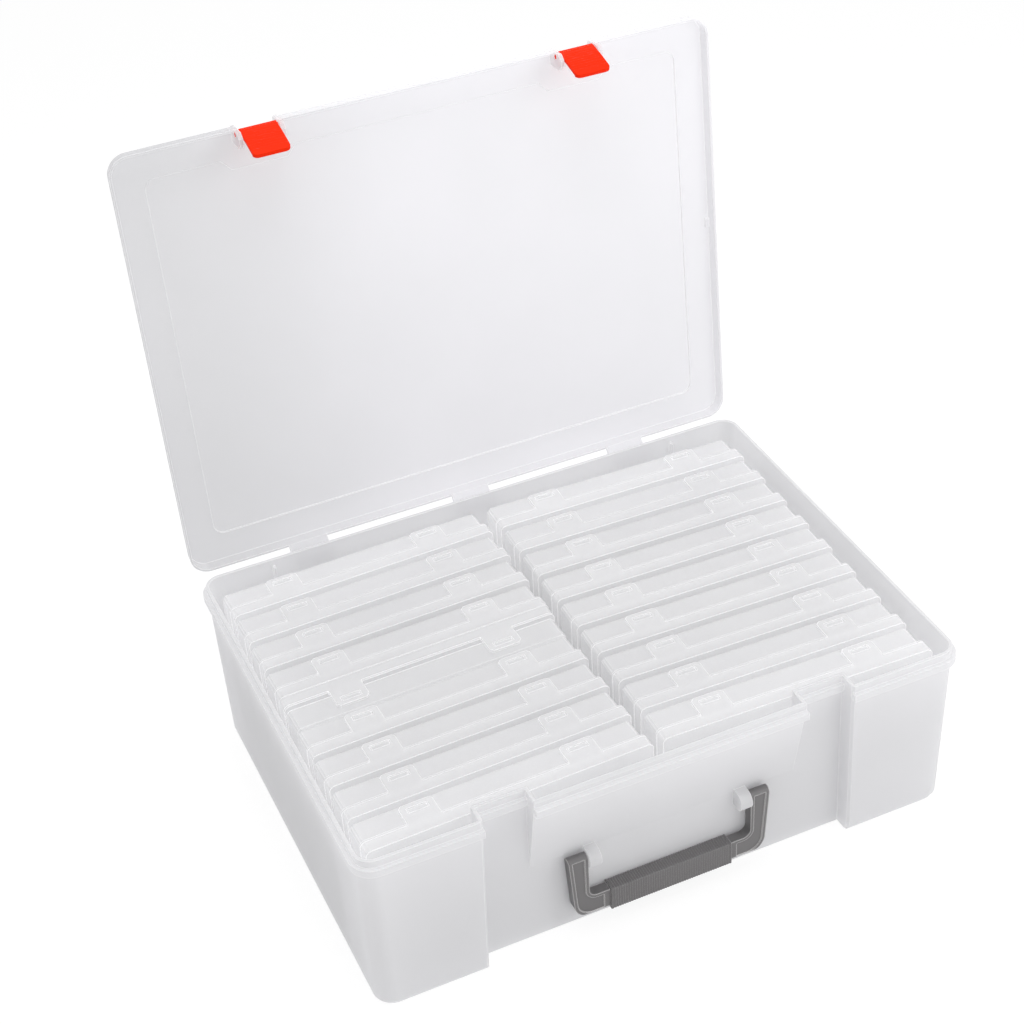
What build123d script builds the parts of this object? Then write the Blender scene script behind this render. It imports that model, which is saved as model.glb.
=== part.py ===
from build123d import *
from math import atan2, cos, radians
import os

# Photo keeper case: a lidded tub with a bail handle that holds two columns of small photo cases.
# Millimetres. X runs along the front, Y from front to back, Z up.
# The origin is the middle of the tub's footprint, on the surface that it stands on.

# ---- driving sizes ----

# tub
tub_width = 380.0            # outside, at the rim
tub_depth = 277.5
tub_height = 121.4
tub_wall = 1.9
tub_floor = 2.2
tub_draft = 1.5              # each wall leans out by this much from foot to rim
tub_corner_radius = 11.0
tub_foot_radius = 4.5

# flange round the tub, under its lip
flange_out = 2.6
flange_height = 5.0
lip_height = 5.0             # rim above the flange
pocket_side_gap = 0.4        # the flange's pockets reach this far past the recess

# recess in the front wall, between the two corner blocks
recess_depth = 12.0          # at the rim
recess_half_width = 117.0    # at the rim
recess_side_draft = 3.3      # the recess widens by this much on each side, down to the foot
block_edge_cut = 1.5

# centre panel: flush at the rim, it slopes back into the recess
panel_half_width = 86.6
panel_setback = 0.6
panel_lip = 4.4              # upright strip above the slope
panel_slope_foot = 58.5

# ribs inside the rear wall
rear_rib_x = 143.0
rear_rib_thick = 1.6
rear_rib_out = 1.8
rear_rib_below_rim = 4.4

# hinge
hinge_behind_wall = 6.9      # pin axis behind the rim's outer face
hinge_below_flange_top = 3.7
hinge_spacing = 114.5
hinge_pin_radius = 1.6
hinge_fit = 0.08
hinge_side_gap = 0.3
hinge_notch_gap = 1.0        # beside each pair of cheeks
hook_wall = 1.45
hook_half_width = 12.9
hook_mouth = 100.0           # open part of each hook, in degrees
hook_mouth_aim = 209.0       # which way it faces when the lid is closed
cheek_thick = 2.5
cheek_reach = 2.7            # cheek's round nose, about the pin axis
cheek_gusset = 11.0
lid_open_angle = 95.4
stop_gap = 0.3

# lid
lid_seat_gap = 0.3           # skirt edge above the flange
lid_height = 9.8
lid_plate = 2.0
lid_skirt = 1.5
lid_skirt_draft = 0.6
lid_front_gap = 0.8          # skirt's inner face to the tub's lip, at the front
lid_side_gap = 0.8
lid_rear_gap = 0.6
lid_corner_radius = 12.5
lid_edge_round = 2.5
lid_step = 1.0               # the middle of the plate stands this much proud
lid_step_end = 20.8          # in from the skirt's side faces
lid_step_front = 20.0        # in from the skirt's front face
lid_step_rear = 20.0
lid_step_radius = 7.0
jog_half = 23.3              # the step jogs in behind each latch
jog_depth = 6.5
jog_run = 6.0
nub_size = 3.0

# latches and the lid's ears
latch_width = 23.0
latch_length = 24.0          # below its pivot
latch_above = 2.0
latch_outside = 2.0          # outer face in front of the pivot
latch_thick = 2.4
latch_lip = 4.6
latch_lip_thick = 2.6
latch_corner_radius = 3.0
latch_pivot_in = 2.9         # behind the skirt's front face
latch_pivot_below_edge = 0.6 # below the skirt's edge
latch_notch_behind = 2.6     # the lid is cut away this far behind the pivot
latch_pin_radius = 1.5
latch_pin_fit = 0.08
latch_side_gap = 0.3
latch_rest_angle = 13.0      # leans in from hanging square to the lid
latch_catch_angle = 22.0     # leans in further where its hook is under the flange
catch_width = 15.0
catch_overlap = 0.55
catch_gap = 0.35
catch_thick = 2.2
ear_thick = 2.5
ear_depth = 9.8
ear_below_pivot = 7.3
ear_corner = 3.0

# bail handle
handle_pivot_in = 8.0        # behind the blocks' front faces
handle_pivot_height = 54.9
handle_half_width = 66.0
handle_taper = 3.2
handle_arm = 12.5
handle_thick = 7.0
handle_edge_radius = 3.4
handle_top = 4.4             # arm above the pivot
handle_foot = 10.0
handle_bar_top = 25.5
handle_outer_radius = 12.0
handle_inner_radius = 5.0
handle_pin_radius = 2.5
handle_pin_fit = 0.08
handle_panel_margin = 2.2
handle_panel_depth = 0.8
handle_panel_end = 4.0       # from the grip's end
grip_length = 80.5
grip_height = 17.1
grip_thick = 9.5
grip_wall = 1.7
grip_radius = 2.4
boss_width = 7.4
boss_radius = 6.0
boss_gap = 0.3
boss_blind = 1.6
pin_end_gap = 0.5

# small photo cases
case_rows = 9
case_side_gap = 8.3          # from the rim's outside to a case
case_middle_gap = 3.3        # from the tub's middle to a case
case_headroom = 6.9          # from a case's top to the rim
case_floor_gap = 0.3
case_row_front = 16.5        # first case's front, behind the blocks' front faces
case_row_rear = 5.85         # last case's back, in front of the rim's rear face
case_row_gap = 0.35
case_wall = 1.3
case_corner = 4.0
case_band = 8.2              # lid's band, in front of the body's flange
case_flange = 1.4
case_body_lower = 3.5        # the body's top stands lower than the band
case_body_narrower = 1.0
case_back_chamfer = 1.2
case_yaw = 1.5
clasp_x = 50.0
clasp_width = 21.0
clasp_length = 14.0
clasp_thick = 1.6
clasp_corner = 2.0
clasp_window = 12.6
clasp_window_depth = 3.8
clasp_window_in = 3.2        # from the clasp's free end
clasp_gap = 0.3

# for cutting and joining
cut_ahead = 20.0             # a cutting shape runs this far past what it cuts
overlap = 0.5                # joined shapes run this far into each other

# ---- places worked out from the sizes ----

front = -tub_depth / 2
rear = tub_depth / 2
flange_top = tub_height - lip_height
flange_bottom = flange_top - flange_height
panel_slope_top = tub_height - panel_lip
rear_rib_top = tub_height - rear_rib_below_rim
hinge_y = rear + hinge_behind_wall
hinge_height = flange_top - hinge_below_flange_top
skirt_edge = flange_top + lid_seat_gap
lid_top = skirt_edge + lid_height
lid_front = front - lid_front_gap - lid_skirt
lid_rear = rear + lid_rear_gap + lid_skirt
lid_depth = lid_rear - lid_front
lid_width = tub_width + 2 * (lid_side_gap + lid_skirt)
lid_middle = (lid_front + lid_rear) / 2
lid_step_side = lid_width / 2 - lid_step_end
latch_x = (panel_half_width + recess_half_width) / 2
latch_pivot_y = lid_front + latch_pivot_in
latch_pivot_height = skirt_edge - latch_pivot_below_edge
jog_inner = latch_x - jog_half
jog_outer = latch_x + jog_half
ear_foot = latch_pivot_height - ear_below_pivot
handle_pivot_y = front + handle_pivot_in
case_width = tub_width / 2 - case_side_gap - case_middle_gap
case_column_x = case_middle_gap + case_width / 2
case_height = tub_height - tub_floor - case_floor_gap - case_headroom
case_pitch = (tub_depth - case_row_front - case_row_rear) / case_rows
case_thick = case_pitch - case_row_gap
turned_row = (case_rows + 1) // 2   # the middle case of the left column stands the other way round
hook_reach = hinge_pin_radius + hinge_fit + hook_wall
latch_half_gap = latch_width / 2 + latch_side_gap


def wall_lean(height):
    """How far a drafted wall stands in from its place at the rim, at a height."""
    return tub_draft * (1 - height / tub_height)


# ---- tub ----

def layered_block(width, depth, corner, layers):
    """A rounded block carried up through layers, each a height and how far its outline stands in."""
    return loft(
        [
            Pos(0, 0, z) * RectangleRounded(width - 2 * inset, depth - 2 * inset, corner)
            for z, inset in layers
        ],
        ruled=True,
    )


def rounded_edge(radius):
    """An edge of that radius as two facets: distances along one face, with the cut-back of the other."""
    return [(radius, 0), (radius * (1 - cos(radians(45))), radius * (1 - cos(radians(45)))), (0, radius)]


def front_recess(grow):
    """The hollow in front of the wall between the corner blocks, made larger by grow."""
    layers = []
    for height in (0, tub_height):
        widen = recess_side_draft * (1 - height / tub_height)
        back = front + recess_depth + wall_lean(height) + grow
        deep = back - (front - cut_ahead)
        outline = Rectangle(2 * (recess_half_width + widen + grow), deep)
        layers.append(Pos(0, back - deep / 2, height) * outline)
    return loft(layers, ruled=True)


def centre_panel(inset):
    """The wedge that brings the middle of the front wall forward, moved back by inset."""
    slope_run = recess_depth + wall_lean(panel_slope_foot) - panel_setback
    slope = slope_run / (panel_slope_top - panel_slope_foot)
    back = inset / cos(atan2(slope, 1))
    foot = panel_slope_foot - cut_ahead
    face = front + panel_setback + back
    points = [
        (face, tub_height),
        (face, panel_slope_top),
        (face + slope_run + cut_ahead * slope, foot),
        (face + recess_depth + cut_ahead, foot),
        (face + recess_depth + cut_ahead, tub_height),
    ]
    profile = make_face(Polyline(points, close=True))
    half = panel_half_width - inset
    return extrude(Plane.YZ.offset(-half) * profile, 2 * half)


def flange():
    """The band under the lip: it follows the latch pockets and stops at the hinge stations."""
    outline = RectangleRounded(
        tub_width + 2 * flange_out, tub_depth + 2 * flange_out, tub_corner_radius + flange_out
    )
    pocket_outer = recess_half_width + pocket_side_gap
    pocket_width = pocket_outer - panel_half_width
    pocket_deep = recess_depth + flange_out
    for side in (-1, 1):
        middle = Pos(side * (panel_half_width + pocket_width / 2), front - 2 * flange_out + pocket_deep / 2)
        outline -= middle * Rectangle(pocket_width, pocket_deep)
    for station in (-hinge_spacing, 0, hinge_spacing):
        outline -= Pos(station, rear + flange_out) * Rectangle(hinge_notch(), 2 * flange_out)
    return Pos(0, 0, flange_bottom) * extrude(outline, flange_height)


def cheek_outside():
    """Half the distance over a pair of hinge cheeks."""
    return hook_half_width + hinge_side_gap + cheek_thick


def hinge_notch():
    """The width that is cut away for a pair of cheeks."""
    return 2 * (cheek_outside() + hinge_notch_gap)


def hinge_station(x):
    """Two cheeks on the rear wall, with the pin bar between them."""
    wall = rear - tub_wall / 2
    nose = Pos(hinge_y, hinge_height) * Circle(cheek_reach)
    gusset = Polyline(
        [
            (wall, hinge_height + cheek_reach),
            (hinge_y, hinge_height + cheek_reach),
            (hinge_y + cheek_reach, hinge_height),
            (wall, hinge_height - cheek_gusset),
        ],
        close=True,
    )
    profile = nose + make_face(gusset)
    outside = cheek_outside()
    station = Part()
    for start in (-outside, outside - cheek_thick):
        station += extrude(Plane.YZ.offset(x + start) * profile, cheek_thick)
    pin = Plane.YZ.offset(x - outside) * (Pos(hinge_y, hinge_height) * Circle(hinge_pin_radius))
    return station + extrude(pin, 2 * outside)


def handle_boss(side):
    """A boss on the recess wall, with a blind hole for the handle's pin."""
    outer_face = handle_half_width - handle_arm - boss_gap
    start = outer_face - boss_width if side > 0 else -outer_face
    into_wall = recess_depth + wall_lean(handle_pivot_height) + tub_wall / 2 - handle_pivot_in
    profile = Pos(handle_pivot_y, handle_pivot_height) * Circle(boss_radius)
    stem = Pos(handle_pivot_y + into_wall / 2, handle_pivot_height) * Rectangle(into_wall, 2 * boss_radius)
    hole = Pos(handle_pivot_y, handle_pivot_height) * Circle(handle_pin_radius + handle_pin_fit)
    boss = extrude(Plane.YZ.offset(start) * (profile + stem), boss_width)
    hole_start = start if side < 0 else start + boss_blind
    return boss - extrude(Plane.YZ.offset(hole_start) * hole, boss_width - boss_blind)


def tub():
    layers = [(z, wall_lean(z) + inset) for inset, z in rounded_edge(tub_foot_radius)]
    shell = layered_block(tub_width, tub_depth, tub_corner_radius, layers + [(tub_height, 0)])
    shell -= front_recess(0) - centre_panel(0)
    upright = [
        e for e in shell.edges()
        if e.length > tub_height / 2 and abs(e.center().Y - front) < 2
        and abs(e.center().X) < recess_half_width + recess_side_draft
    ]
    shell = chamfer(upright, block_edge_cut)
    shell += flange()
    cavity = layered_block(
        tub_width - 2 * tub_wall,
        tub_depth - 2 * tub_wall,
        tub_corner_radius - tub_wall,
        [(tub_floor, wall_lean(tub_floor)), (tub_height, 0)],
    )
    shell -= cavity - (front_recess(tub_wall) - centre_panel(tub_wall))
    rib_deep = rear_rib_out + tub_wall
    rib_tall = rear_rib_top - tub_floor
    for side in (-1, 1):
        rib = Pos(side * rear_rib_x, rear - wall_lean(0) - rib_deep / 2, tub_floor + rib_tall / 2)
        shell += rib * Box(rear_rib_thick, rib_deep, rib_tall)
        shell += handle_boss(side)
    for station in (-hinge_spacing, 0, hinge_spacing):
        shell += hinge_station(station)
    return shell


# ---- lid, drawn closed ----

def lid_shell():
    """Skirt and plate, with a rounded upper edge."""
    upper = [(lid_height - z, lid_skirt_draft + inset) for z, inset in rounded_edge(lid_edge_round)]
    shell = layered_block(lid_width, lid_depth, lid_corner_radius, [(0, 0)] + upper)
    shell -= layered_block(
        lid_width - 2 * lid_skirt,
        lid_depth - 2 * lid_skirt,
        lid_corner_radius - lid_skirt,
        [(0, 0), (lid_height - lid_plate, lid_skirt_draft / 2)],
    )
    return Pos(0, lid_middle, skirt_edge) * shell


def step_outline():
    """The outline of the plate's raised middle: a rounded rectangle that jogs in behind each latch."""
    near = lid_front + lid_step_front
    far = lid_rear - lid_step_rear
    half = [
        (jog_inner, near),
        (jog_inner + jog_run, near + jog_depth),
        (jog_outer - jog_run, near + jog_depth),
        (jog_outer, near),
        (lid_step_side, near),
        (lid_step_side, far),
    ]
    mirrored = [(-x, y) for x, y in reversed(half)]
    outline = make_face(Polyline(half + mirrored, close=True))
    corners = [v for v in outline.vertices() if abs(v.X) > jog_outer + jog_run]
    return fillet(corners, lid_step_radius)


def hinge_hook(x):
    """A hook that snaps over the pin bar, with a toe that meets the rear wall when the lid is open."""
    here = Pos(hinge_y, hinge_height)
    wedge = 4 * hook_reach
    low = radians(hook_mouth_aim - hook_mouth / 2)
    high = radians(hook_mouth_aim + hook_mouth / 2)
    mid = (low + high) / 2
    mouth = Polyline(
        [(0, 0)] + [(wedge * cos(a), wedge * cos(a - radians(90))) for a in (low, mid, high)], close=True
    )
    ring = Circle(hook_reach) - Circle(hinge_pin_radius + hinge_fit) - make_face(mouth)
    toe_reach = hinge_behind_wall + wall_lean(hinge_height) - stop_gap
    toe_in = hinge_pin_radius + hinge_fit + hook_wall / 3
    toe = Pos(-(toe_reach + toe_in) / 2, -hook_reach / 2) * Rectangle(toe_reach - toe_in, hook_reach)
    ring += Rot(0, 0, lid_open_angle) * (toe - Circle(hinge_pin_radius + hinge_fit))
    return extrude(Plane.YZ.offset(x - hook_half_width) * (here * ring), 2 * hook_half_width)


def skirt_link(x):
    """A sloping strap from the skirt's edge back to the top of a hook."""
    lip = radians(hook_mouth_aim - hook_mouth / 2)
    edge_up = skirt_edge - hinge_height
    skirt_back = lid_rear - hinge_y
    strap = Polyline(
        [
            (skirt_back - lid_skirt, edge_up),
            (skirt_back - lid_skirt, edge_up + hook_wall),
            (skirt_back - overlap, edge_up + 2 * hook_wall),
            (0, hook_reach),
            (0, 0),
            (hook_reach * cos(lip), hook_reach * cos(lip - radians(90))),
        ],
        close=True,
    )
    link = make_face(strap) - Circle(hinge_pin_radius + hinge_fit)
    return extrude(Plane.YZ.offset(x - hook_half_width) * (Pos(hinge_y, hinge_height) * link), 2 * hook_half_width)


def latch_ear(x):
    """A tongue beside the latch, with the hole for its pin."""
    tall = lid_top - lid_plate / 2 - ear_foot
    tongue = Pos(lid_front + ear_depth / 2 + lid_skirt / 3, ear_foot + tall / 2) * Rectangle(ear_depth, tall)
    low_corners = tongue.vertices().group_by(Axis.Y)[0]
    tongue = chamfer(low_corners, ear_corner)
    tongue -= Pos(latch_pivot_y, latch_pivot_height) * Circle(latch_pin_radius + latch_pin_fit)
    return extrude(Plane.YZ.offset(x) * tongue, ear_thick)


def lid():
    body = lid_shell()
    outline = step_outline()
    raised = offset(outline, lid_step, kind=Kind.INTERSECTION)
    body += Pos(0, 0, lid_top - lid_plate / 2) * extrude(raised, lid_plate / 2 + lid_step)
    body -= Pos(0, 0, lid_top - lid_plate) * extrude(outline, lid_step)
    for station in (-hinge_spacing, 0, hinge_spacing):
        body += hinge_hook(station) + skirt_link(station)
    notch_deep = latch_pivot_in + latch_notch_behind
    for side in (-1, 1):
        middle = Pos(side * latch_x, lid_front, skirt_edge + lid_height / 2)
        body -= middle * Box(2 * latch_half_gap, 2 * notch_deep, 2 * lid_height)
        body += latch_ear(side * latch_x + latch_half_gap)
        body += latch_ear(side * latch_x - latch_half_gap - ear_thick)
    nub_x = lid_width / 2 - lid_skirt - nub_size / 2
    nub = Box(nub_size, 2 * nub_size, nub_size / 2 + overlap)
    return body + Pos(nub_x, lid_middle, lid_top - lid_plate - (nub_size / 2 - overlap) / 2) * nub


# ---- latches, drawn hanging square to the closed lid ----

def latch_profile():
    """Plate, foot lip and pivot knuckle, about the pivot."""
    face = -latch_outside
    inner = face + latch_thick
    plate = Pos(face + latch_thick / 2, (latch_above - latch_length) / 2) * Rectangle(
        latch_thick, latch_above + latch_length
    )
    foot = Pos(face + latch_lip / 2, -latch_length + latch_lip_thick / 2)
    lip = foot * Rectangle(latch_lip, latch_lip_thick)
    return plate + lip + Circle(latch_outside)


def catch_profile():
    """The hook that goes under the flange, drawn where it catches and swung back."""
    reach = front + recess_depth - flange_out + catch_overlap - latch_pivot_y
    top = flange_bottom - catch_gap - latch_pivot_height
    points = [(0, top), (reach, top), (reach, top - catch_thick / 2), (0, top - 2 * catch_thick)]
    hook = make_face(Polyline(points, close=True))
    return Rot(0, 0, -latch_catch_angle) * hook


def latch():
    half = latch_width / 2
    body = extrude(Plane.YZ.offset(-half) * latch_profile(), latch_width)
    tall = latch_above + latch_length
    outline = Pos(0, (latch_above - latch_length) / 2) * Rectangle(latch_width, tall)
    outline = fillet(outline.vertices().group_by(Axis.Y)[0], latch_corner_radius)
    body &= extrude(Plane.XZ * outline, latch_width, both=True)
    body += extrude(Plane.YZ.offset(-catch_width / 2) * catch_profile(), catch_width)
    pin_half = half + latch_side_gap + ear_thick
    pins = extrude(Plane.YZ.offset(-pin_half) * Circle(latch_pin_radius), 2 * pin_half)
    return body + pins


# ---- bail handle ----

def bail_outline():
    """The bail seen from the front: two tapering arms and a bar."""
    top = handle_pivot_height + handle_top
    outer = [
        (-handle_half_width, top),
        (handle_half_width, top),
        (handle_half_width - handle_taper, handle_foot),
        (handle_taper - handle_half_width, handle_foot),
    ]
    gap = handle_half_width - handle_arm
    inner = [(-gap, top), (gap, top), (gap, handle_bar_top), (-gap, handle_bar_top)]
    bail = make_face(Polyline(outer, close=True))
    bail = fillet(bail.vertices().group_by(Axis.Y)[0], handle_outer_radius)
    hole = make_face(Polyline(inner, close=True))
    hole = fillet(hole.vertices().group_by(Axis.Y)[0], handle_inner_radius)
    return bail - hole


def grip_core():
    """The bar's section inside the grip."""
    return Rectangle(grip_thick - 2 * grip_wall, grip_height - 2 * grip_wall)


def grip_place():
    """The middle of the grip, in a section across the bar."""
    return Pos(handle_pivot_y, (handle_foot + handle_bar_top) / 2)


def handle():
    outline = bail_outline()
    face = handle_pivot_y - handle_thick / 2
    body = extrude(Plane.XZ.offset(-face) * outline, -handle_thick)
    tall = handle_pivot_height + handle_top - handle_foot
    side = Pos(handle_pivot_y, handle_foot + tall / 2) * RectangleRounded(
        handle_thick, tall, handle_edge_radius
    )
    body &= extrude(Plane.YZ.offset(-handle_half_width) * side, 2 * handle_half_width)
    border = offset(outline, -handle_panel_margin)
    middle = Pos(0, handle_foot) * Rectangle(grip_length + 2 * handle_panel_end, 4 * handle_bar_top)
    body -= extrude(Plane.XZ.offset(-face) * (border - middle), -handle_panel_depth)
    core = Plane.YZ.offset(-grip_length / 2) * (grip_place() * grip_core())
    around = Plane.YZ.offset(-grip_length / 2) * (grip_place() * Rectangle(2 * grip_thick, 2 * grip_height))
    body -= extrude(around, grip_length) - extrude(core, grip_length)
    pin_in = handle_half_width - handle_arm - boss_gap - (boss_width - boss_blind) + pin_end_gap
    pin_out = handle_half_width - handle_arm + 2 * overlap
    for sign in (-1, 1):
        start = pin_in if sign > 0 else -pin_out
        pin = Plane.YZ.offset(start) * (Pos(handle_pivot_y, handle_pivot_height) * Circle(handle_pin_radius))
        body += extrude(pin, pin_out - pin_in)
    return body


def handle_grip():
    skin = RectangleRounded(grip_thick, grip_height, grip_radius) - grip_core()
    return extrude(Plane.YZ.offset(-grip_length / 2) * (grip_place() * skin), grip_length)


# ---- small photo cases, drawn standing on their hinge edge with their front at Y = 0 ----

def cut_corners(width, height):
    """A rectangle standing on its lower edge, with one facet across each corner."""
    outline = Pos(0, height / 2) * Rectangle(width, height)
    return chamfer(outline.vertices(), case_corner * (2 - 2 ** 0.5))


def soft_corners(width, height):
    """The same with three facets at each corner, close to a round one."""
    outline = cut_corners(width, height)
    return chamfer(outline.vertices(), case_corner * (2 ** 0.5 - 1) / 2)


def standing(outline, start, end):
    """An upright outline carried back from start to end."""
    return extrude(Plane.XZ.offset(-start) * outline, start - end)


def case_lid():
    hollow = Pos(0, (case_wall + case_band) / 2, case_height / 2) * Box(
        case_width - 2 * case_wall, case_band - case_wall, case_height - 2 * case_wall
    )
    body = standing(soft_corners(case_width, case_height), 0, case_band) - hollow
    tab_long = clasp_length + case_flange + case_wall
    tab = Rectangle(clasp_width, tab_long)
    tab = chamfer(tab.vertices().group_by(Axis.Y)[-1], clasp_corner)
    window_y = tab_long / 2 - clasp_window_in - clasp_window_depth / 2
    tab -= Pos(0, window_y) * Rectangle(clasp_window, clasp_window_depth)
    for x in (-clasp_x, clasp_x):
        place = Pos(x, case_band - case_wall + tab_long / 2, case_height - clasp_thick)
        body += place * extrude(tab, clasp_thick)
    return body


def case_body():
    body_height = case_height - case_body_lower
    body_width = case_width - 2 * case_body_narrower
    flange_end = case_band + case_flange
    rim = standing(soft_corners(case_width, case_height), case_band, flange_end)
    tray = standing(cut_corners(body_width, body_height), flange_end, case_thick)
    tray = chamfer(tray.edges().group_by(Axis.Y)[-1], case_back_chamfer)
    hollow_deep = case_thick - case_wall - case_band
    hollow = Pos(0, case_band + hollow_deep / 2, body_height / 2) * Box(
        body_width - 2 * case_wall, hollow_deep, body_height - 2 * case_wall
    )
    body = rim + tray - hollow
    notch = Box(clasp_width + 2 * clasp_gap, 2 * case_flange, 2 * (clasp_thick + clasp_gap))
    bump_tall = case_body_lower - clasp_thick / 3
    bump_y = flange_end + clasp_length - clasp_window_in - clasp_window_depth / 2
    bump = Box(clasp_window - 4 * clasp_gap, clasp_window_depth - 2 * clasp_gap, bump_tall + overlap)
    for x in (-clasp_x, clasp_x):
        body -= Pos(x, flange_end - case_flange / 2, case_height) * notch
        body += Pos(x, bump_y, body_height + (bump_tall - overlap) / 2) * bump
    return body


def case_place(side, row):
    """Where a small case stands: columns lean into a shallow V, and one case is turned round."""
    middle = front + case_row_front + (row - 1) * case_pitch + case_thick / 2
    turn = 180 if side < 0 and row == turned_row else 0
    place = Pos(side * case_column_x, middle, tub_floor + case_floor_gap)
    return place * Rot(0, 0, -side * case_yaw + turn) * Pos(0, -case_thick / 2, 0)


# ---- the whole ----

def opened(piece):
    """A piece of the closed lid, swung back about the hinge to where it rests open."""
    axis = Axis((0, hinge_y, hinge_height), (1, 0, 0))
    return piece.rotate(axis, -lid_open_angle)


os.makedirs("parts", exist_ok=True)
export_step(tub(), "parts/tub.step")
export_step(opened(lid()), "parts/lid.step")
one_latch = latch().rotate(Axis.X, latch_rest_angle)
for name, side in (("left", -1), ("right", 1)):
    placed = Pos(side * latch_x, latch_pivot_y, latch_pivot_height) * one_latch
    export_step(opened(placed), f"parts/{name}_latch.step")
export_step(handle(), "parts/handle.step")
export_step(handle_grip(), "parts/handle_grip.step")
one_case_lid = case_lid()
one_case_body = case_body()
for column, side in (("left", -1), ("right", 1)):
    for row in range(1, case_rows + 1):
        place = case_place(side, row)
        export_step(place * one_case_lid, f"parts/{column}_case_{row}_lid.step")
        export_step(place * one_case_body, f"parts/{column}_case_{row}_body.step")
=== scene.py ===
# %% [markdown]
# # A photo keeper case, dressed for its portrait
# A lidded tub of frosted plastic holds two columns of small photo cases. The solids come from the
# part's own construction, already in their places. Here they get their finishes, and the pieces whose
# fine shape matters most are made again as smooth surfaces: the ringed grip and the two latches.

import math

import bpy
import numpy as np
from mathutils import Matrix


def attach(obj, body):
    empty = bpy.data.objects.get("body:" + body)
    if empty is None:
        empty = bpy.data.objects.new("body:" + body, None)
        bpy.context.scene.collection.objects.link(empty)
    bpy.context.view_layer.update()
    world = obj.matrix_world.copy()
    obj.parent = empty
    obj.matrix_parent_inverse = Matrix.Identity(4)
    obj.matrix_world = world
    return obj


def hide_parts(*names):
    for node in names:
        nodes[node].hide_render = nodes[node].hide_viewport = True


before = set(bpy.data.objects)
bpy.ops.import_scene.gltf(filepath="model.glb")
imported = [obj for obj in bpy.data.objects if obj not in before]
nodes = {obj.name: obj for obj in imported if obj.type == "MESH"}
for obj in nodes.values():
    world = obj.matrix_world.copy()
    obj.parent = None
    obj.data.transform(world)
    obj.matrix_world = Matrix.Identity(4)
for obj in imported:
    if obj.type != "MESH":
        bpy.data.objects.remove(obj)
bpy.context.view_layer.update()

# %% [markdown]
# ## The camera
# A long lens looks down at the front left corner of the case. Its place was worked out beforehand from
# the vanishing lines of the tub, so only the resulting frame is written here: where the lens stands and
# the directions of its right, up and forward axes. The small shift keeps the optical axis where it was.

# %% Camera
def aim_camera(place, right, up, forward, lens, shift):
    """A camera at a place whose own axes are right, up and back (minus forward)."""
    camera = bpy.data.objects.new("portrait_camera", bpy.data.cameras.new("portrait_lens"))
    bpy.context.scene.collection.objects.link(camera)
    turn = np.eye(4)
    turn[:3, 0], turn[:3, 1], turn[:3, 2], turn[:3, 3] = right, up, -np.array(forward), place
    camera.matrix_world = Matrix(turn.tolist())
    camera.data.lens = lens
    camera.data.sensor_width = 36.0
    camera.data.shift_x, camera.data.shift_y = shift
    camera.data.clip_end = 20.0
    bpy.context.scene.camera = camera
    return camera


camera = aim_camera(
    place=(-0.390289, -0.884329, 0.921966),
    right=(0.9077012, -0.4166036, -0.0501984),
    up=(0.2925113, 0.5424344, 0.7875291),
    forward=(0.3008582, 0.7295247, -0.6142296),
    lens=72.2409,
    shift=(-0.012319, 0.040283),
)
print("camera at", [round(v, 3) for v in camera.location])

# %% [markdown]
# ## Small tools for materials
# A finish is a tree of nodes. Writing trees by hand is long, so two helpers add a node with its settings
# and wire it in one line. Every effect that several finishes share is a node group, built once, that
# hands out only colours, masks, heights and normals; the shader itself stays in each material.

# %% Node helpers
def add_node(tree, kind, inputs=None, **settings):
    """A new node: settings are its own properties, inputs are socket values or the sockets that feed them."""
    node = tree.nodes.new(kind)
    for name, value in settings.items():
        setattr(node, name, value)
    for name, value in (inputs or {}).items():
        socket = node.inputs[name]
        if isinstance(value, bpy.types.NodeSocket):
            tree.links.new(value, socket)
        else:
            socket.default_value = value
    return node


def new_group(name, inputs, outputs):
    """An empty node group with named inputs and outputs, and its two end nodes."""
    group = bpy.data.node_groups.new(name, "ShaderNodeTree")
    for label, kind, value in inputs:
        socket = group.interface.new_socket(label, in_out="INPUT", socket_type=kind)
        socket.default_value = value
    for label, kind in outputs:
        group.interface.new_socket(label, in_out="OUTPUT", socket_type=kind)
    return group, group.nodes.new("NodeGroupInput"), group.nodes.new("NodeGroupOutput")


def new_material(name):
    """An empty material: its node tree and its output node."""
    material = bpy.data.materials.new(name)
    material.use_nodes = True
    tree = material.node_tree
    tree.nodes.clear()
    return material, tree, tree.nodes.new("ShaderNodeOutputMaterial")


def blend_colour(tree, factor, first, second, mode="MIX"):
    """The colour socket of a mix of two colours; each may be a plain colour or a socket."""
    mix = tree.nodes.new("ShaderNodeMix")
    mix.data_type, mix.blend_type = "RGBA", mode
    for index, value in ((0, factor), (6, first), (7, second)):
        if isinstance(value, bpy.types.NodeSocket):
            tree.links.new(value, mix.inputs[index])
        else:
            mix.inputs[index].default_value = value
    return mix.outputs[2]


# %% [markdown]
# ## What moulded plastic looks like close up
# Frosted polypropylene is never quite even. The melt flows in from the gate and freezes in faint clouds,
# a few centimetres wide, and the spark-eroded mould leaves a fine grain in the surface. One group gives
# both: a slow cloud that tints the colour, and a fine grain for roughness and height. All of it is read
# from object coordinates, so it stays on the piece when the piece moves.

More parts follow.
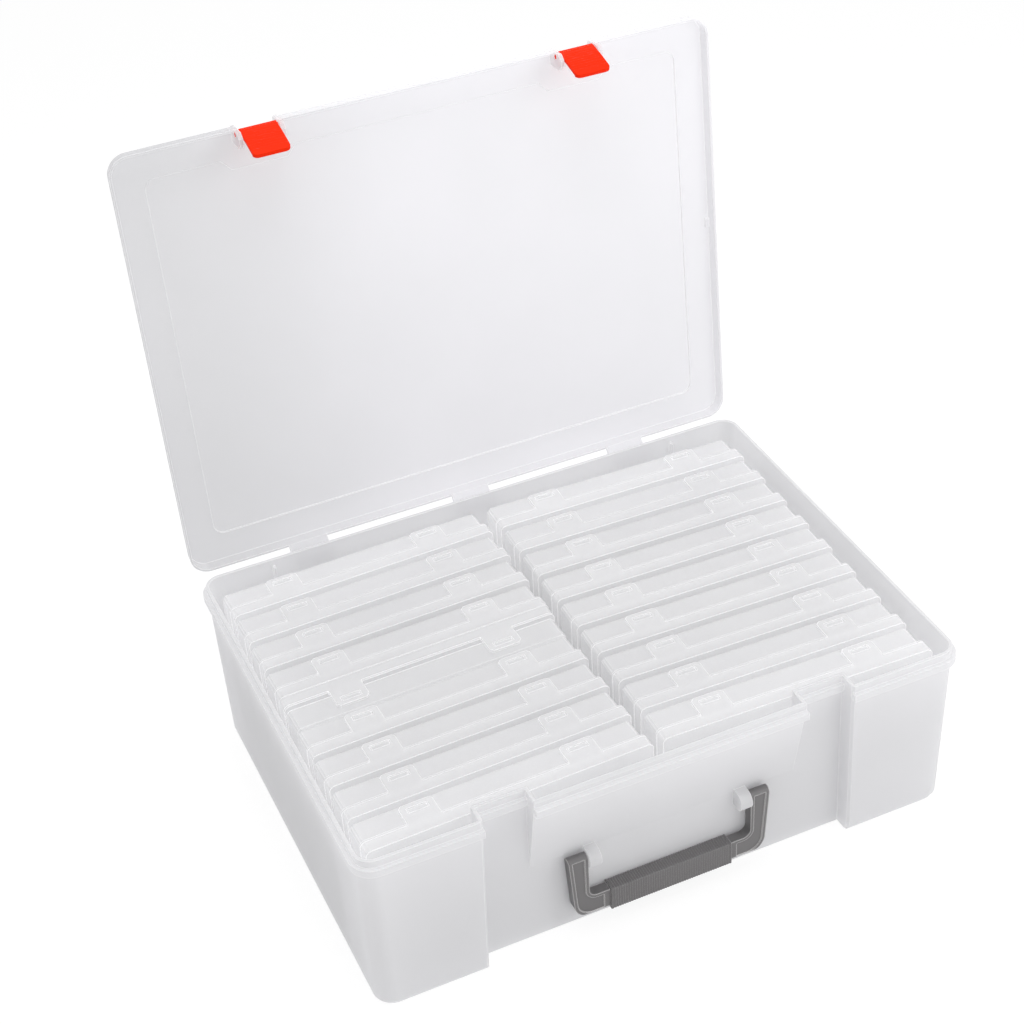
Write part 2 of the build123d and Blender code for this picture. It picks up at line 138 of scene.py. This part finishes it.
# %% The moulding group
def moulding_group():
    """Cloud = slow noise stretched to 0..1; Grain = fine noise, also the height of a faint bump."""
    group, given, out = new_group(
        "moulding",
        [("Cloud Size", "NodeSocketFloat", 9.0), ("Grain Size", "NodeSocketFloat", 900.0)],
        [("Cloud", "NodeSocketFloat"), ("Grain", "NodeSocketFloat")],
    )
    place = add_node(group, "ShaderNodeTexCoord").outputs["Object"]
    cloud = add_node(
        group, "ShaderNodeTexNoise", {"Vector": place, "Scale": given.outputs["Cloud Size"], "Detail": 2.5}
    )
    spread = add_node(
        group, "ShaderNodeMapRange", {"Value": cloud.outputs["Fac"], "From Min": 0.3, "From Max": 0.7}
    )
    grain = add_node(
        group, "ShaderNodeTexNoise", {"Vector": place, "Scale": given.outputs["Grain Size"], "Detail": 2.0}
    )
    group.links.new(spread.outputs["Result"], out.inputs["Cloud"])
    group.links.new(grain.outputs["Fac"], out.inputs["Grain"])
    return group


# The edge mask below sets where the painted highlights go; the rounded normal shades the edges for real.
def edge_group():
    """Edge = how far a rounded-over normal turns from the true one, 0 on flats and 1 on sharp edges."""
    group, given, out = new_group(
        "edge_light",
        [("Width", "NodeSocketFloat", 0.0008), ("Strength", "NodeSocketFloat", 3.0)],
        [("Edge", "NodeSocketFloat"), ("Normal", "NodeSocketVector")],
    )
    soft = add_node(group, "ShaderNodeBevel", {"Radius": given.outputs["Width"]}, samples=6)
    true = add_node(group, "ShaderNodeNewGeometry")
    agree = add_node(
        group, "ShaderNodeVectorMath", {0: soft.outputs["Normal"], 1: true.outputs["Normal"]},
        operation="DOT_PRODUCT",
    )
    turned = add_node(group, "ShaderNodeMath", {0: 1.0, 1: agree.outputs["Value"]}, operation="SUBTRACT")
    edge = add_node(
        group, "ShaderNodeMath", {0: turned.outputs["Value"], 1: given.outputs["Strength"]},
        operation="MULTIPLY", use_clamp=True,
    )
    group.links.new(edge.outputs["Value"], out.inputs["Edge"])
    group.links.new(soft.outputs["Normal"], out.inputs["Normal"])
    return group


moulding, edge_light = moulding_group(), edge_group()
grain_depth = 0.0002
print("groups:", moulding.name, edge_light.name)

# %% [markdown]
# ## Frosted plastic
# The tub, the lid and the small cases are the same natural polypropylene. Its skin scatters light, some
# light comes through from behind, and only a ghost of what stands inside shows. A mix of three shaders
# does this: a plastic skin, a translucent body and a small share of plain see-through. Edges are painted
# as the brightest lines, a painted highlight: a lighter edge colour and a glow of their own, and the flats
# get a weaker share of that glow, painted light that lifts the shade.

# %% Milky plastic
# Painted shade: tints that darken the lid towards its left side, away from the light.
shaded_tint, lit_tint = (0.80, 0.80, 0.805, 1), (0.93, 0.925, 0.94, 1)


def milky_plastic(
    name, dark, light, edge, glow, clear, lit_through, rough, edge_width, painted_edge_glow, painted_flat_glow, shaded_side=None
):
    """Skin and translucent body mixed by glow; see-through mixed in by clear for the lens, by lit_through for light.

    Sharp edges take the lighter edge colour and glow at the edge strength, flats at the given share of it:
    painted highlight and painted light. Between the two places along X of the shaded side the tone goes from
    the shaded tint to the lit one, a painted shade.
    """
    material, tree, out = new_material(name)
    mould = add_node(tree, "ShaderNodeGroup", node_tree=moulding)
    rim = add_node(tree, "ShaderNodeGroup", node_tree=edge_light)
    rim.inputs["Width"].default_value = edge_width
    tone = blend_colour(tree, mould.outputs["Cloud"], dark, light)
    # Painted shade: the tone darkens towards the left of the lid.
    if shaded_side:
        place = add_node(tree, "ShaderNodeTexCoord").outputs["Object"]
        across = add_node(tree, "ShaderNodeSeparateXYZ", {0: place}).outputs["X"]
        side_shade_ramp = add_node(
            tree, "ShaderNodeMapRange",
            {"Value": across, "From Min": shaded_side[0], "From Max": shaded_side[1]},
            interpolation_type="SMOOTHSTEP",
        )
        painted_side_shade = blend_colour(tree, side_shade_ramp.outputs["Result"], shaded_tint, lit_tint)
        tone = blend_colour(tree, 1.0, tone, painted_side_shade, mode="MULTIPLY")
    # Painted highlight: sharp edges take the lighter edge colour.
    colour = blend_colour(tree, rim.outputs["Edge"], tone, edge)
    gloss = add_node(
        tree, "ShaderNodeMapRange",
        {"Value": mould.outputs["Grain"], "To Min": rough - 0.06, "To Max": rough + 0.06},
    )
    bump = add_node(
        tree, "ShaderNodeBump",
        {
            "Strength": 0.06, "Distance": grain_depth,
            "Height": mould.outputs["Grain"], "Normal": rim.outputs["Normal"],
        },
    )
    # Painted light: edges glow at full strength and flats at a share of it, though no lamp is there.
    painted_glow_colour = blend_colour(tree, rim.outputs["Edge"], (painted_flat_glow, painted_flat_glow, painted_flat_glow, 1), (1, 1, 1, 1))
    skin = add_node(
        tree, "ShaderNodeBsdfPrincipled",
        {
            "Base Color": colour, "Roughness": gloss.outputs["Result"], "IOR": 1.49,
            "Emission Color": painted_glow_colour, "Emission Strength": painted_edge_glow, "Normal": bump.outputs["Normal"],
        },
    )
    body = add_node(tree, "ShaderNodeBsdfTranslucent", {"Color": colour})
    milk = add_node(tree, "ShaderNodeMixShader", {0: glow, 1: skin.outputs["BSDF"], 2: body.outputs["BSDF"]})
    see = add_node(tree, "ShaderNodeBsdfTransparent", {"Color": (0.99, 0.99, 0.995, 1)})
    sheet = add_node(
        tree, "ShaderNodeMapRange", {"Value": rim.outputs["Edge"], "To Min": clear, "To Max": 0.25 * clear}
    )
    looked_at = add_node(tree, "ShaderNodeLightPath").outputs["Is Camera Ray"]
    passed = add_node(
        tree, "ShaderNodeMapRange",
        {"Value": looked_at, "To Min": lit_through, "To Max": sheet.outputs["Result"]},
    )
    veil = add_node(
        tree, "ShaderNodeMixShader",
        {0: passed.outputs["Result"], 1: milk.outputs["Shader"], 2: see.outputs["BSDF"]},
    )
    tree.links.new(veil.outputs["Shader"], out.inputs["Surface"])
    return material


# Below, the edge colours and glows are painted highlights, the flat glows painted light.
frosted = milky_plastic(
    "frosted_polypropylene", (0.79, 0.79, 0.80, 1), (0.82, 0.818, 0.83, 1), (0.97, 0.97, 0.975, 1),
    glow=0.45, clear=0.14, lit_through=0.6, rough=0.42,
    edge_width=0.0009, painted_edge_glow=0.32, painted_flat_glow=0.28,
)
lid_sheet = milky_plastic(
    "lid_polypropylene", (0.82, 0.82, 0.83, 1), (0.85, 0.848, 0.86, 1), (0.97, 0.97, 0.975, 1),
    glow=0.45, clear=0.14, lit_through=0.6, rough=0.36,
    edge_width=0.001, painted_edge_glow=0.35, painted_flat_glow=0.34, shaded_side=(-0.19, 0.0),
)
crisp = milky_plastic(
    "case_polypropylene", (0.72, 0.72, 0.73, 1), (0.75, 0.75, 0.755, 1), (0.99, 0.99, 0.99, 1),
    glow=0.45, clear=0.42, lit_through=0.9, rough=0.26,
    edge_width=0.0011, painted_edge_glow=0.85, painted_flat_glow=0.46,
)
print("finishes:", frosted.name, lid_sheet.name, crisp.name)

# %% [markdown]
# ## Coloured plastic
# The latches are a saturated orange, the handle a mid grey. These are solid colours through and through,
# so a plain plastic shader is right, with the same moulding group for clouding and grain. Their edges
# get a painted highlight: a lighter edge colour, and on the greys a little glow.

# %% Solid plastic
def solid_plastic(name, dark, light, edge, rough, shine, edge_width, edge_strength, painted_edge_glint):
    """Clouded colour; a painted highlight on sharp edges: the lighter edge colour over edge_width, and a glow."""
    material, tree, out = new_material(name)
    mould = add_node(tree, "ShaderNodeGroup", node_tree=moulding)
    rim = add_node(tree, "ShaderNodeGroup", node_tree=edge_light)
    rim.inputs["Width"].default_value = edge_width
    rim.inputs["Strength"].default_value = edge_strength
    tone = blend_colour(tree, mould.outputs["Cloud"], dark, light)
    # Painted highlight: sharp edges take the lighter edge colour.
    colour = blend_colour(tree, rim.outputs["Edge"], tone, edge)
    gloss = add_node(
        tree, "ShaderNodeMapRange",
        {"Value": mould.outputs["Grain"], "To Min": rough - 0.05, "To Max": rough + 0.08},
    )
    bump = add_node(
        tree, "ShaderNodeBump",
        {
            "Strength": 0.12, "Distance": grain_depth,
            "Height": mould.outputs["Grain"], "Normal": rim.outputs["Normal"],
        },
    )
    # Painted highlight: the edges glow in the edge colour.
    painted_glint = blend_colour(tree, rim.outputs["Edge"], (0, 0, 0, 1), edge)
    skin = add_node(
        tree, "ShaderNodeBsdfPrincipled",
        {
            "Base Color": colour, "Roughness": gloss.outputs["Result"], "IOR": 1.5,
            "Specular IOR Level": shine, "Normal": bump.outputs["Normal"],
            "Emission Color": painted_glint, "Emission Strength": painted_edge_glint,
        },
    )
    tree.links.new(skin.outputs["BSDF"], out.inputs["Surface"])
    return material


# Below, the edge colours and edge glows are painted highlights.
orange = solid_plastic(
    "latch_orange", (0.93, 0.022, 0.002, 1), (0.95, 0.030, 0.003, 1), (1.0, 0.06, 0.01, 1),
    rough=0.45, shine=0.06, edge_width=0.0005, edge_strength=1.2, painted_edge_glint=0.0,
)
grey = solid_plastic(
    "handle_grey", (0.135, 0.13, 0.132, 1), (0.152, 0.147, 0.149, 1), (0.56, 0.55, 0.55, 1),
    rough=0.34, shine=0.45, edge_width=0.0011, edge_strength=3.2, painted_edge_glint=0.3,
)
grip_grey = solid_plastic(
    "grip_grey", (0.128, 0.123, 0.125, 1), (0.142, 0.137, 0.139, 1), (0.42, 0.41, 0.41, 1),
    rough=0.5, shine=0.3, edge_width=0.0011, edge_strength=2.4, painted_edge_glint=0.2,
)
print("finishes:", orange.name, grey.name, grip_grey.name)

# %% [markdown]
# ## Dressing the solids
# Each solid has one finish, so its name is enough to choose it. The big lid has a finish of its own,
# because it carries a painted shade that makes it a little greyer towards the left side.

# %% Put the finishes on the solids
def finish_for(name):
    """The finish of a solid, from its name."""
    if name == "tub":
        return frosted
    if name == "lid":
        return lid_sheet
    if "latch" in name:
        return orange
    if name == "handle_grip":
        return grip_grey
    return grey if name == "handle" else crisp


for name, solid in nodes.items():
    solid.data.materials.clear()
    solid.data.materials.append(finish_for(name))
print("dressed", len(nodes), "solids")

# %% [markdown]
# ## The grip
# A softer sleeve is moulded over the handle's bar, square in section with small rounded corners, and fine
# rings run round it so that it does not slip. The rings are too deep for a bump to fool the eye at the
# corners, so they are real: one grid of points follows the section round and the sleeve along, out over
# the rings and back through the inside, which closes it like a ring of dough.

# %% Ringed grip
def section_ring(half_deep, half_tall, corner, per_corner=6):
    """Rounded rectangle: each corner's centre plus the corner radius turned through its own quarter."""
    quarter = np.linspace(0, np.pi / 2, per_corner)
    angle = (quarter[None, :] + np.arange(4)[:, None] * np.pi / 2).ravel()
    side_y = np.repeat([1, -1, -1, 1], per_corner)
    side_z = np.repeat([1, 1, -1, -1], per_corner)
    deep = (half_deep - corner)[:, None] * side_y + corner[:, None] * np.cos(angle)
    tall = (half_tall - corner)[:, None] * side_z + corner[:, None] * np.sin(angle)
    return deep, tall


def new_piece(name, points, faces):
    """An object at the origin whose mesh has these points and faces."""
    mesh = bpy.data.meshes.new(name)
    mesh.from_pydata(points.tolist(), [], faces)
    piece = bpy.data.objects.new(name, mesh)
    bpy.context.scene.collection.objects.link(piece)
    print(name, "points", len(points), "faces", len(faces))
    return piece


def outward_sum(points, quads, middle):
    """Sum over the faces of (centre minus middle) times the face's normal: negative if it is inside out."""
    corners = points[quads]
    lean = np.cross(corners[:, 1] - corners[:, 0], corners[:, 2] - corners[:, 0])
    return ((corners.mean(1) - middle) * lean).sum()


def closed_grid(name, points):
    """A mesh over a grid of points that closes in both directions, with faces turned outwards."""
    rows, columns = points.shape[:2]
    index = np.arange(rows * columns).reshape(rows, columns)
    ahead, beside = np.roll(index, -1, 0), np.roll(index, -1, 1)
    quads = np.stack([index, beside, np.roll(ahead, -1, 1), ahead], axis=-1).reshape(-1, 4)
    flat = points.reshape(-1, 3)
    if outward_sum(flat, quads, 0) < 0:
        quads = quads[:, ::-1]
    return new_piece(name, flat, quads.tolist())


def ringed_grip(length, thick, tall, corner, wall, rim, ease, step, groove, place):
    """Inset along the sleeve = groove times a raised cosine of period step, none on the plain end rims."""
    run = np.linspace(-length / 2 + rim, length / 2 - rim, int(8 * (length - 2 * rim) / step) + 1)
    ring = groove * (0.5 - 0.5 * np.cos(2 * np.pi * (run - run[0]) / step)) ** 0.6
    ends = np.array([-length / 2, -length / 2 + ease])
    along = np.concatenate([ends, run, -ends[::-1], [length / 2, -length / 2]])
    inset = np.concatenate([[ease, 0], ring, [0, ease], [wall, wall]])
    deep, high = section_ring(thick / 2 - inset, tall / 2 - inset, np.maximum(corner - inset, corner / 4))
    across = np.repeat(along[:, None], deep.shape[1], 1)
    return closed_grid("ringed_grip", np.stack([across, place[0] + deep, place[1] + high], axis=-1))


grip = ringed_grip(
    length=0.0805, thick=0.0095, tall=0.0171, corner=0.0008, wall=0.0017, rim=0.0012, ease=0.0003,
    step=0.0016, groove=0.00028, place=(-0.13075, 0.01775),
)
grip.data.materials.append(grip_grey)
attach(grip, "handle")
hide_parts("handle_grip")

# %% [markdown]
# ## The latches
# Each latch is a bright clip that swings on pins at the lid's edge. Its plate curls in a little towards a
# thick foot with round corners, fine ridges cross its face where a thumb pulls, and a hook behind it goes
# under the tub's flange. The plate is a stack of rounded sections carried along the curl; the pins and the
# hook are short stacks too, all in one mesh.

# %% Stacks of sections
def stack_of_sections(points):
    """Points, side faces and end caps of closed sections in a row, with faces turned outwards."""
    rows, columns = points.shape[:2]
    index = np.arange(rows * columns).reshape(rows, columns)
    beside = np.roll(index, -1, 1)
    quads = np.stack([index[:-1], beside[:-1], beside[1:], index[1:]], axis=-1).reshape(-1, 4)
    caps = np.stack([index[0, ::-1], index[-1]])
    flat = points.reshape(-1, 3)
    if outward_sum(flat, quads, flat.mean(0)) < 0:
        quads, caps = quads[:, ::-1], caps[:, ::-1]
    return flat, quads, caps


def joined(name, stacks):
    """One object from several stacks, each one's point numbers moved past those before it."""
    starts = np.cumsum([0] + [len(points) for points, quads, caps in stacks[:-1]])
    faces = []
    for start, (points, quads, caps) in zip(starts, stacks):
        faces += (quads + start).tolist() + (caps + start).tolist()
    return new_piece(name, np.concatenate([points for points, quads, caps in stacks]), faces)


# %% Where a latch stands
latch_apart = 0.1018
latch_pivot = np.array([0.175743, 0.394921])
latch_up = np.array([0.99125, 0.13227])
latch_in = np.array([0.13227, -0.99125])


def latch_place(x, inward, upward):
    """Place in the frame = pivot + inward along the latch's depth + upward along its height."""
    flat = latch_pivot + inward[..., None] * latch_in + upward[..., None] * latch_up
    return np.concatenate([np.broadcast_to(x, inward.shape)[..., None], flat], axis=-1)


# %% Plate
plate_top, plate_foot, plate_front, plate_thick, plate_half = 0.0020, -0.0240, -0.0020, 0.0023, 0.0115
lip_top, lip_back, curl = -0.02142, 0.0026, 0.0022
foot_round, edge_round = 0.0030, 0.0005
ridge_high, ridge_step, ridge_from, ridge_to = 0.00016, 0.0021, -0.003, -0.0195


def latch_plate(x):
    """Outer face = front + curl times height share squared, with a sawtooth of ridges on it.

    The half width drops in a quarter round at the foot, where the plate thickens to the lip.
    """
    up = np.concatenate([np.linspace(plate_top, -0.0214, 118), np.linspace(-0.02145, plate_foot, 14)])
    share = (plate_top - up) / (plate_top - plate_foot)
    ridges = np.where((up < ridge_from) & (up > ridge_to), ridge_high * ((-up / ridge_step) % 1.0), 0.0)
    outer = plate_front + curl * share**2 + ridges
    inner = np.where(up < lip_top, lip_back, outer - ridges + plate_thick)
    past = np.clip(foot_round - (up - plate_foot), 0, foot_round)
    half = plate_half - (foot_round - np.sqrt(foot_round**2 - past**2))
    across, depth = section_ring(half, (inner - outer) / 2, np.full_like(half, edge_round), 4)
    middle = ((inner + outer) / 2)[:, None]
    height = np.repeat(up[:, None], across.shape[1], 1)
    return stack_of_sections(latch_place(x + across, middle + depth, height))


# %% Pins and hook
def latch_rod(x, radius, half_length):
    """Circle of a radius about the pivot, stacked along X, eased at both ends."""
    angle = np.linspace(0, 2 * np.pi, 32, endpoint=False)
    run = half_length * np.array([-1, -0.985, 0.985, 1])
    size = radius * np.array([0.85, 1, 1, 0.85])
    inward, upward = size[:, None] * np.cos(angle), size[:, None] * np.sin(angle)
    return stack_of_sections(latch_place(x + np.repeat(run[:, None], 32, 1), inward, upward))


hook_deep = np.array([0.0019, 0.00935, 0.00935, 0.0019])
hook_high = np.array([-0.00505, -0.00505, -0.00615, -0.00878])
hook_turn = math.radians(22)


def latch_hook(x, half_width):
    """Wedge from the plate to a blunt tip, turned back by the angle at which it catches."""
    inward = hook_deep * math.cos(hook_turn) + hook_high * math.sin(hook_turn)
    upward = hook_high * math.cos(hook_turn) - hook_deep * math.sin(hook_turn)
    across = x + np.repeat([[-half_width], [half_width]], 4, 1)
    return stack_of_sections(latch_place(across, np.tile(inward, (2, 1)), np.tile(upward, (2, 1))))


# %% Both latches
for side, body in ((-1, "left_latch"), (1, "right_latch")):
    x = side * latch_apart
    stacks = [latch_plate(x), latch_rod(x, 0.0020, 0.0114), latch_rod(x, 0.0015, 0.0143), latch_hook(x, 0.0075)]
    clip = joined(body + "_clip", stacks)
    clip.data.materials.append(orange)
    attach(clip, body)
    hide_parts(body)

# %% [markdown]
# ## Studio
# The case stands on a plain white floor in front of nothing: catalogue light. The floor is lit like
# anything else, so it holds the soft shadow, and a little of its own brightness, seen only by the lens
# and in reflections, lifts it to white.

# %% Floor
def seen_rays(tree):
    """1 for rays from the lens, from a reflection or through a clear wall, 0 for rays that carry light."""
    path = add_node(tree, "ShaderNodeLightPath").outputs
    either = add_node(
        tree, "ShaderNodeMath", {0: path["Is Camera Ray"], 1: path["Is Glossy Ray"]}, operation="MAXIMUM"
    )
    return add_node(
        tree, "ShaderNodeMath", {0: either.outputs["Value"], 1: path["Is Transmission Ray"]}, operation="MAXIMUM"
    ).outputs["Value"]


def white_floor(radius, own_light, own_share):
    """A wide disc: paint that takes light and shadow, mixed for seen rays with a share of its own light."""
    angle = np.linspace(0, 2 * np.pi, 96, endpoint=False)
    ring = np.stack([radius * np.cos(angle), radius * np.sin(angle), np.zeros_like(angle)], axis=1)
    floor = new_piece("studio_floor", ring, [list(range(96))])
    floor.location.z = -0.0002
    material, tree, out = new_material("studio_white")
    paint = add_node(tree, "ShaderNodeBsdfDiffuse", {"Color": (0.93, 0.93, 0.93, 1)})
    glow = add_node(tree, "ShaderNodeEmission", {"Color": (1, 1, 1, 1), "Strength": own_light})
    share = add_node(tree, "ShaderNodeMath", {0: seen_rays(tree), 1: own_share}, operation="MULTIPLY")
    both = add_node(
        tree, "ShaderNodeMixShader",
        {0: share.outputs["Value"], 1: paint.outputs["BSDF"], 2: glow.outputs["Emission"]},
    )
    tree.links.new(both.outputs["Shader"], out.inputs["Surface"])
    floor.data.materials.append(material)


white_floor(radius=3, own_light=1.07, own_share=0.8)

# %% World
def white_world(strength):
    """White where the lens, a reflection or a clear wall looks at it, and a soft light for the rest."""
    world = bpy.data.worlds.new("studio_air")
    bpy.context.scene.world = world
    world.use_nodes = True
    tree = world.node_tree
    tree.nodes.clear()
    level = add_node(tree, "ShaderNodeMapRange", {"Value": seen_rays(tree), "To Min": strength, "To Max": 1.0})
    air = add_node(tree, "ShaderNodeBackground", {"Color": (1, 1, 1, 1), "Strength": level.outputs["Result"]})
    tree.links.new(air.outputs["Background"], tree.nodes.new("ShaderNodeOutputWorld").inputs["Surface"])


white_world(0.48)

# %% [markdown]
# ## Lamps
# Five soft boxes stand outside the picture. The largest hangs high above and grazes the open lid, the
# front one fills the handle's recess, the key gives the right side its form, and two weak ones lift the
# left side and the back of the lid. None is strong: pale plastic clips to white very soon.

# %% Lamps
def soft_lamp(name, place, target, size, power):
    """A square soft box at a place, facing a target."""
    lamp = bpy.data.lights.new(name, "AREA")
    lamp.shape, lamp.size, lamp.energy = "SQUARE", size, power
    box = bpy.data.objects.new(name, lamp)
    box.location = place
    box.visible_camera = False
    bpy.context.scene.collection.objects.link(box)
    away = np.array(place) - np.array(target)
    flat = math.hypot(away[0], away[1])
    box.rotation_euler = (math.atan2(flat, away[2]), 0, math.atan2(away[0], -away[1]))


soft_lamp("key_box", (0.75, -0.75, 0.85), (0.05, 0.1, 0.22), 0.6, 4.5)
soft_lamp("front_box", (0.3, -1.8, 0.25), (0.05, -0.14, 0.05), 1.0, 6.4)
soft_lamp("side_box", (-1.6, 0.15, 0.4), (-0.19, 0, 0.08), 1.0, 2.5)
soft_lamp("top_box", (-0.1, 0.1, 1.9), (0, 0, 0.1), 1.2, 15.5)
soft_lamp("back_box", (0.2, 0.6, 0.4), (0.1, 0.17, 0.27), 0.4, 1.0)

# %% [markdown]
# ## Ready for the picture
# The Standard view shows colours as they are written.

# %% Colours as they are written
bpy.context.scene.view_settings.view_transform = "Standard"
print("view:", bpy.context.scene.view_settings.view_transform)
